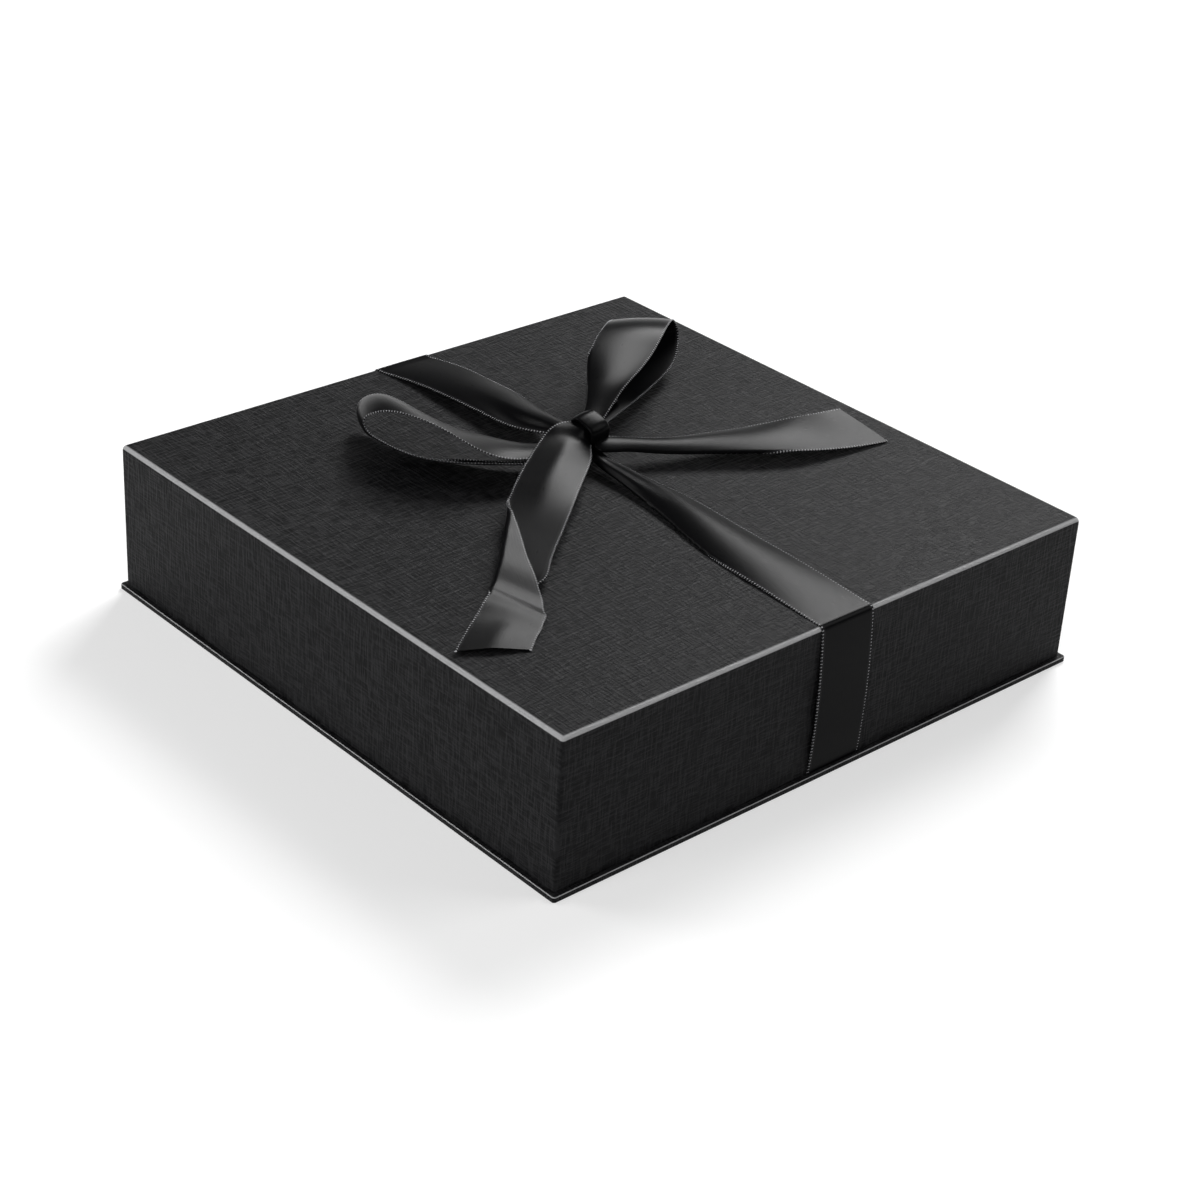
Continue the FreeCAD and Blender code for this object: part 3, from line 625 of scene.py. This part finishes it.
def unwrap(mesh, points):
    """UV map in mm along and across the cloth; gives the length along its middle."""
    columns = points.shape[1]
    steps = np.linalg.norm(np.diff(points[:, columns // 2], axis=0), axis=1)
    run = np.concatenate([[0], np.cumsum(steps)]) / MM
    width = np.linspace(0, RIBBON_WIDTH, columns)
    unwrapped = np.stack(np.meshgrid(run, width, indexing="ij"), -1).reshape(-1, 2)
    layer = mesh.uv_layers.new(name="ribbon")
    corners = np.zeros(len(mesh.loops), np.int32)
    mesh.loops.foreach_get("vertex_index", corners)
    layer.data.foreach_set("uv", unwrapped[corners].ravel())
    return run[-1]


def thicken(cloth):
    """Gives the sheet its thickness and leaves a plain mesh."""
    solidify = cloth.modifiers.new("thickness", "SOLIDIFY")
    solidify.thickness = RIBBON_THICK * MM
    solidify.offset = 0.0
    graph = bpy.context.evaluated_depsgraph_get()
    solid = bpy.data.meshes.new_from_object(cloth.evaluated_get(graph))
    cloth.modifiers.clear()
    flat = cloth.data
    cloth.data = solid
    bpy.data.meshes.remove(flat)
    solid.name = cloth.name
    solid.polygons.foreach_set("use_smooth", [True] * len(solid.polygons))
    solid.set_sharp_from_angle(angle=math.radians(SHARPEST_BEND))


print("the ribbon is", RIBBON_THICK, "mm thick")

# %% [markdown]
# Now the rows become cloth: a grid of points, one section per row, with a face between neighbours. The lines
# along the two edges are kept, because the stitching follows them.

# %% Weave the rows into cloth
edge_lines = []


def weave(name, middle, across, normal, sections, keep_edges=True):
    """Cloth through the sections, as an object with the ribbon's thickness, and its length."""
    aside = sections[:, :, :1] * across[:, None]
    raised = sections[:, :, 1:] * normal[:, None]
    points = (middle[:, None] + aside + raised) * MM
    rows, columns = points.shape[:2]
    index = np.arange(rows * columns).reshape(rows, columns)
    faces = np.stack([index[:-1, :-1], index[:-1, 1:], index[1:, 1:], index[1:, :-1]], -1).reshape(-1, 4)
    mesh = bpy.data.meshes.new(name)
    mesh.from_pydata(points.reshape(-1, 3).tolist(), [], faces.tolist())
    length = unwrap(mesh, points)
    mesh.materials.append(ribbon_satin)
    cloth = bpy.data.objects.new(name, mesh)
    bpy.context.scene.collection.objects.link(cloth)
    if keep_edges:
        edge_lines.append((points[:, 0], points[:, 1] - points[:, 0]))
        edge_lines.append((points[:, -1], points[:, -2] - points[:, -1]))
    thicken(cloth)
    return cloth, length


print("edges kept so far:", len(edge_lines))

# %% [markdown]
# There are two ways to hang the sections on a route: square to it, as for most of the ribbon, or upright from
# the right edge, as for the tail that rolls over. Either way the strip takes the place of the solids that it
# stands for.

# %% Strips of ribbon
def directions(rows):
    """Middle, way across and normal of each row."""
    middle = rows[:, :3]
    along = np.gradient(middle, axis=0)
    turn, rise = np.radians(rows[:, 3]), np.radians(rows[:, 4])
    across = np.column_stack([np.cos(turn) * np.cos(rise), np.sin(turn) * np.cos(rise), np.sin(rise)])
    normal = np.cross(across, along)
    return middle, across, normal / np.linalg.norm(normal, axis=1)[:, None]


def ribbon_strip(name, rows, turned, side):
    """One stretch of ribbon; turned holds how its spare width is turned under at the left and right edge."""
    sections = np.array([ribbon_section(*row[5:9], turned, side) for row in rows])
    return weave(name, *directions(rows), sections)


def rolled_strip(name, rows):
    """A stretch of ribbon that rolls over on its way, in upright sections from its right edge."""
    sections = np.array([rolled_section(*row[4:9]) for row in rows])
    turn = np.radians(rows[:, 3])
    across = np.column_stack([np.cos(turn), np.sin(turn), np.zeros(len(rows))])
    upright = np.tile([0.0, 0.0, 1.0], (len(rows), 1))
    return weave(name, rows[:, :3], across, upright, sections)


def finish_ribbon(cloth, length, held, rests_on, *nodes):
    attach(cloth, "lid")
    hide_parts(*nodes)
    print(cloth.name, round(length, 1), "mm long,", len(cloth.data.polygons), "faces")


print("laid flat, every strip is", RIBBON_WIDTH, "mm wide")

# %% [markdown]
# The first two strips run from their glued end inside the lid, over the wall and across the top to the knot.
# They are pulled tight. Near the knot they narrow, and one edge of each is turned under.

# %% The two lengths that cross the lid
FRONT_DROP_X = 2.0        # mm, middle of the ribbon on the front wall
BACK_DROP_X = 4.5         # mm, and on the back wall
LEFT_TURNED = (1.0, 0.0)
RIGHT_TURNED = (0.0, 1.0)

front_rows = np.vstack([drop_rows(FRONT_DROP_X, -1), smooth_rows(FRONT_ARM)])
front_ribbon, front_length = ribbon_strip("ribbon_front", front_rows, LEFT_TURNED, -1)
finish_ribbon(front_ribbon, front_length, "stretched", ["lid_wrap"],
              "ribbon_front_drop", "ribbon_front_arm")
back_rows = np.vstack([drop_rows(BACK_DROP_X, 1), smooth_rows(BACK_ARM)])
back_ribbon, back_length = ribbon_strip("ribbon_back", back_rows, RIGHT_TURNED, 1)
finish_ribbon(back_ribbon, back_length, "stretched", ["lid_wrap"],
              "ribbon_back_drop", "ribbon_back_arm")

# %% [markdown]
# The loops go out from the knot, turn and come back under themselves, and the tails end free. All of them
# start narrow, gathered in the knot, and open to the ribbon's full width on the way.

# %% The loops and tails of the bow
BOW = [
    ("bow_left_loop", LEFT_LOOP, RIGHT_TURNED, -1),
    ("bow_upper_loop", UPPER_LOOP, LEFT_TURNED, -1),
    ("bow_right_tail", RIGHT_TAIL, LEFT_TURNED, 1),
]
for name, route, turned, side in BOW:
    cloth, length = ribbon_strip(name + "_cloth", smooth_rows(route), turned, side)
    finish_ribbon(cloth, length, "gathered", ["bow_knot_cloth"], name)
front_tail, tail_length = rolled_strip("bow_front_tail_cloth", smooth_rows(FRONT_TAIL))
finish_ribbon(front_tail, tail_length, "gathered", ["bow_knot_cloth"], "bow_front_tail")

# %% [markdown]
# The knot is the ribbon wrapped once round the crossing, drawn in to a third of its width with both edges
# turned under. The same section sweeps round the knot's axis, flattened on four sides as a tight knot is, and
# grows a little so that the end laps over the start.

# %% The knot
KNOT_PLACE = np.array([10.0, 18.0, 10.0])  # mm, height above the lid
KNOT_HEADING = 5.0        # degrees from +X to +Y
KNOT_TILT = 4.0           # degrees that the axis rises
KNOT_LENGTH = 8.5         # mm along its axis
KNOT_RADIUS = 6.2         # mm, to the middle of a flat
KNOT_FLATNESS = 3.0       # 2 is round; more is flatter on four sides
KNOT_FLAT = 108.0         # degrees round the axis to one of the flats
KNOT_CROWN = 0.4          # mm that the wrap bulges in the middle of its width
KNOT_TURNS = 1.15
KNOT_START = 0.3          # of a turn before level, where the wrap begins
KNOT_LAP = 0.5            # mm that the outer lap stands off
KNOT_ROWS = 110
BOTH_TURNED = (0.5, 0.5)


def tie_knot():
    heading, rise = math.radians(KNOT_HEADING), math.radians(KNOT_TILT)
    level = np.array([math.cos(heading), math.sin(heading), 0.0])
    axis = level * math.cos(rise) + np.array([0.0, 0.0, math.sin(rise)])
    side = np.array([-math.sin(heading), math.cos(heading), 0.0])
    share = np.linspace(0, 1, KNOT_ROWS)
    turn = 2 * math.pi * (KNOT_TURNS * share - KNOT_START)
    radial = np.cos(turn)[:, None] * side + np.sin(turn)[:, None] * np.cross(axis, side)
    off_flat = turn - math.radians(KNOT_FLAT)
    corners = np.abs(np.cos(off_flat)) ** KNOT_FLATNESS + np.abs(np.sin(off_flat)) ** KNOT_FLATNESS
    radius = KNOT_RADIUS * corners ** (-1 / KNOT_FLATNESS) + KNOT_LAP * (share - 0.5)
    centre = KNOT_PLACE + np.array([0, 0, LID_TOP])
    middle = centre + radial * radius[:, None]
    section = ribbon_section(KNOT_LENGTH, KNOT_CROWN, 0, 0, BOTH_TURNED, -1)
    sections = np.repeat(section[None], len(share), axis=0)
    across = np.repeat(axis[None], len(share), axis=0)
    return weave("bow_knot_cloth", middle, across, radial, sections, keep_edges=False)


knot_cloth, knot_length = tie_knot()
finish_ribbon(knot_cloth, knot_length, "gathered", ["bow_left_loop_cloth", "bow_upper_loop_cloth"],
              "bow_knot")

# %% [markdown]
# A fine glossy thread, painted pale as a painted highlight, is whipped over both edges of the ribbon to keep
# them from fraying. It is thousands of small stitches in a row, which is work for Geometry Nodes. First the
# kept edges become lines that know, at each point, which way the cloth lies.

# %% Edges as lines
def edge_mesh():
    """All edges as lines, with the way into the cloth and the cloth's normal at each point."""
    points, links, inward, upward = [], [], [], []
    for line, into in edge_lines:
        start = len(points)
        points.extend(line.tolist())
        links.extend((i, i + 1) for i in range(start, len(points) - 1))
        normal = np.cross(into, np.gradient(line, axis=0))
        inward.append(into / np.linalg.norm(into, axis=1)[:, None])
        upward.append(normal / np.linalg.norm(normal, axis=1)[:, None])
    mesh = bpy.data.meshes.new("ribbon_edge_stitches")
    mesh.from_pydata(points, links, [])
    for name, vectors in (("into_cloth", inward), ("cloth_normal", upward)):
        attribute = mesh.attributes.new(name, "FLOAT_VECTOR", "POINT")
        attribute.data.foreach_set("vector", np.vstack(vectors).astype(np.float32).ravel())
    return mesh


print(len(edge_lines), "edges to whip")

# %% [markdown]
# The tree walks along the lines at the stitch's pitch, steps a little into the cloth and sets a small bead
# there, stretched across the edge and turned flat on the cloth. The sizes come in through named inputs.

# %% Stitches as a node tree
STITCH_SIZES = {          # mm
    "Pitch": 1.25,        # from stitch to stitch
    "Inset": 0.4,         # from the edge to the middle of a stitch
    "Across": 1.1,
    "Along": 0.7,
    "High": 0.55,
}


def whipping_tree():
    """Node tree that turns lines to rows of stitches."""
    tree = bpy.data.node_groups.new("whipped_edge", "GeometryNodeTree")
    tree.interface.new_socket("Geometry", in_out="INPUT", socket_type="NodeSocketGeometry")
    for name in STITCH_SIZES:
        tree.interface.new_socket(name, in_out="INPUT", socket_type="NodeSocketFloat")
    tree.interface.new_socket("Geometry", in_out="OUTPUT", socket_type="NodeSocketGeometry")
    given = add_node(tree, "NodeGroupInput").outputs
    lines = add_node(tree, "GeometryNodeMeshToCurve", {"Mesh": given["Geometry"]})
    spaced = add_node(tree, "GeometryNodeResampleCurve", {
        "Curve": lines.outputs["Curve"], "Length": given["Pitch"]}, mode="LENGTH")
    into = add_node(tree, "GeometryNodeInputNamedAttribute", {"Name": "into_cloth"},
                    data_type="FLOAT_VECTOR")
    normal = add_node(tree, "GeometryNodeInputNamedAttribute", {"Name": "cloth_normal"},
                      data_type="FLOAT_VECTOR")
    step = add_node(tree, "ShaderNodeVectorMath", {0: into.outputs[0], "Scale": given["Inset"]},
                    operation="SCALE")
    moved = add_node(tree, "GeometryNodeSetPosition", {
        "Geometry": spaced.outputs["Curve"], "Offset": step.outputs["Vector"]})
    # A bead 1 m across, so that its scale is its size
    bead = add_node(tree, "GeometryNodeMeshIcoSphere", {"Radius": 0.5, "Subdivisions": 1})
    size = add_node(tree, "ShaderNodeCombineXYZ", {0: given["Across"], 1: given["Along"], 2: given["High"]})
    shaped = add_node(tree, "GeometryNodeTransform", {
        "Geometry": bead.outputs["Mesh"], "Scale": size.outputs[0]})
    lying = add_node(tree, "FunctionNodeAlignRotationToVector", {"Vector": normal.outputs[0]}, axis="Z")
    turned = add_node(tree, "FunctionNodeAlignRotationToVector", {
        "Rotation": lying.outputs[0], "Vector": into.outputs[0]}, axis="X", pivot_axis="Z")
    stitches = add_node(tree, "GeometryNodeInstanceOnPoints", {
        "Points": moved.outputs["Geometry"], "Instance": shaped.outputs["Geometry"],
        "Rotation": turned.outputs[0]})
    solid = add_node(tree, "GeometryNodeRealizeInstances", {"Geometry": stitches.outputs["Instances"]})
    painted = add_node(tree, "GeometryNodeSetMaterial", {
        "Geometry": solid.outputs["Geometry"], "Material": ribbon_thread})
    add_node(tree, "NodeGroupOutput", {"Geometry": painted.outputs["Geometry"]})
    return tree


print("a stitch every", STITCH_SIZES["Pitch"], "mm")

# %% [markdown]
# The tree hangs on the lines as a modifier. Its result is then kept as a plain mesh, because what leaves
# this file should not depend on live modifiers.

# %% Whipped edges
def whip_edges():
    stitching = bpy.data.objects.new("ribbon_edge_stitches", edge_mesh())
    bpy.context.scene.collection.objects.link(stitching)
    whipping = stitching.modifiers.new("whipping", "NODES")
    whipping.node_group = whipping_tree()
    for socket in whipping.node_group.interface.items_tree:
        if socket.name in STITCH_SIZES:
            whipping[socket.identifier] = STITCH_SIZES[socket.name] * MM
    graph = bpy.context.evaluated_depsgraph_get()
    sewn = bpy.data.meshes.new_from_object(stitching.evaluated_get(graph))
    stitching.modifiers.clear()
    stitching.data = sewn
    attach(stitching, "lid")
    return stitching


stitching = whip_edges()
print("edge stitching has", len(stitching.data.polygons), "faces")

# %% [markdown]
# The box stands on a plain white floor. A floor that is only painted would go grey where the lamps don't
# reach, and brighter lamps would spoil the black. So the floor also glows a little, but only as the camera
# and reflections see it: it lights nothing, and it keeps the box's shadow. The glow grows away from the
# lamps.

# %% Floor
FLOOR_HALF = 6.0          # m
FLOOR_GREY = "#c8c8c8"
FLOOR_LIFT = 0.45         # glow round the box
FAR_LIFT = 0.85           # glow far from the lamps
NEAR_FLOOR = 0.7          # m from the box, where the glow starts to grow
FAR_FLOOR = 3.0           # m from the box, where it is full


def floor_finish():
    """Pale floor that the camera and reflections see brighter, so that it is white round the shadow."""
    material, tree, output = new_material("white_studio_floor")
    seen = add_node(tree, "ShaderNodeLightPath").outputs
    direct = add_node(tree, "ShaderNodeMath", {0: seen["Is Camera Ray"], 1: seen["Is Glossy Ray"]},
                      operation="MAXIMUM")
    shown = add_node(tree, "ShaderNodeMath", {0: direct.outputs[0], 1: seen["Is Transmission Ray"]},
                     operation="MAXIMUM")
    place = add_node(tree, "ShaderNodeTexCoord")
    away = add_node(tree, "ShaderNodeVectorMath", {0: place.outputs["Object"]}, operation="LENGTH")
    lift = add_node(tree, "ShaderNodeMapRange", {
        "Value": away.outputs["Value"], "From Min": NEAR_FLOOR, "From Max": FAR_FLOOR,
        "To Min": FLOOR_LIFT, "To Max": FAR_LIFT})
    strength = add_node(tree, "ShaderNodeMath", {0: shown.outputs[0], 1: lift.outputs[0]},
                        operation="MULTIPLY")
    glow = add_node(tree, "ShaderNodeEmission", {
        "Color": linear("#ffffff"), "Strength": strength.outputs[0]})
    paint = add_node(tree, "ShaderNodeBsdfDiffuse", {"Color": linear(FLOOR_GREY)})
    both = add_node(tree, "ShaderNodeAddShader", {0: glow.outputs[0], 1: paint.outputs[0]})
    tree.links.new(both.outputs[0], output.inputs["Surface"])
    return material


def lay_floor():
    mesh = bpy.data.meshes.new("studio_floor")
    corners = [(x * FLOOR_HALF, y * FLOOR_HALF, 0) for x, y in ((-1, -1), (1, -1), (1, 1), (-1, 1))]
    mesh.from_pydata(corners, [], [(0, 1, 2, 3)])
    mesh.materials.append(floor_finish())
    floor = bpy.data.objects.new("studio_floor", mesh)
    bpy.context.scene.collection.objects.link(floor)


lay_floor()
print("floor", 2 * FLOOR_HALF, "m square")

# %% [markdown]
# The room is a white horizon under a dim ceiling. The horizon carries on the floor's white behind the box,
# and the dim ceiling keeps the top of the lid dark.

# %% Room
HORIZON_LIGHT = (1.0, 1.0, 1.0, 1.0)
CEILING_LIGHT = (0.08, 0.08, 0.08, 1.0)
HORIZON_RISE = (0.02, 0.2)  # upward part of the view, where the white ends and where the dim starts


def light_room():
    world = bpy.data.worlds.new("studio_room")
    bpy.context.scene.world = world
    world.use_nodes = True
    tree = world.node_tree
    tree.nodes.clear()
    way = add_node(tree, "ShaderNodeTexCoord")
    level = add_node(tree, "ShaderNodeSeparateXYZ", {0: way.outputs["Generated"]})
    height = add_node(tree, "ShaderNodeMapRange", {
        "Value": level.outputs[2], "From Min": HORIZON_RISE[0], "From Max": HORIZON_RISE[1]})
    room = add_node(tree, "ShaderNodeMix", {
        "Factor": height.outputs[0], "A": HORIZON_LIGHT, "B": CEILING_LIGHT}, data_type="RGBA")
    air = add_node(tree, "ShaderNodeBackground", {"Color": room.outputs["Result"], "Strength": 1.0})
    output = add_node(tree, "ShaderNodeOutputWorld")
    tree.links.new(air.outputs[0], output.inputs["Surface"])


light_room()
print("the room goes from", HORIZON_LIGHT[0], "at the horizon to", CEILING_LIGHT[0], "above")

# %% [markdown]
# A large soft lamp behind and to the right draws the shine along the satin and the linen and throws the bow's
# shadow forwards. Two small ones at the sides pick out the lid's folded edges, and a weak wide lamp on the
# left keeps that wall from going black.

# %% Lamps
# Each lamp: name, heading and height in degrees, distance and size in m, power in W
LAMPS = [
    ("key_softbox", 27.0, 40.0, 2.6, 1.1, 70.0),
    ("right_edge_softbox", -38.0, 42.0, 1.6, 0.8, 7.0),
    ("left_edge_softbox", 126.0, 36.0, 1.6, 0.6, 6.0),
    ("fill_softbox", 190.0, 24.0, 1.5, 1.0, 13.0),
]


def hang_lamp(name, heading, height, distance, size, power):
    lamp = bpy.data.lights.new(name, "AREA")
    lamp.energy = power
    lamp.size = size
    turn, rise = math.radians(heading), math.radians(height)
    way = Vector((math.cos(turn) * math.cos(rise), math.sin(turn) * math.cos(rise), math.sin(rise)))
    hung = bpy.data.objects.new(name, lamp)
    hung.location = way * distance
    hung.rotation_mode = "QUATERNION"
    hung.rotation_quaternion = way.to_track_quat("Z", "Y")
    bpy.context.scene.collection.objects.link(hung)


for lamp in LAMPS:
    hang_lamp(*lamp)
    print("lamp", lamp[0], lamp[-1], "W")
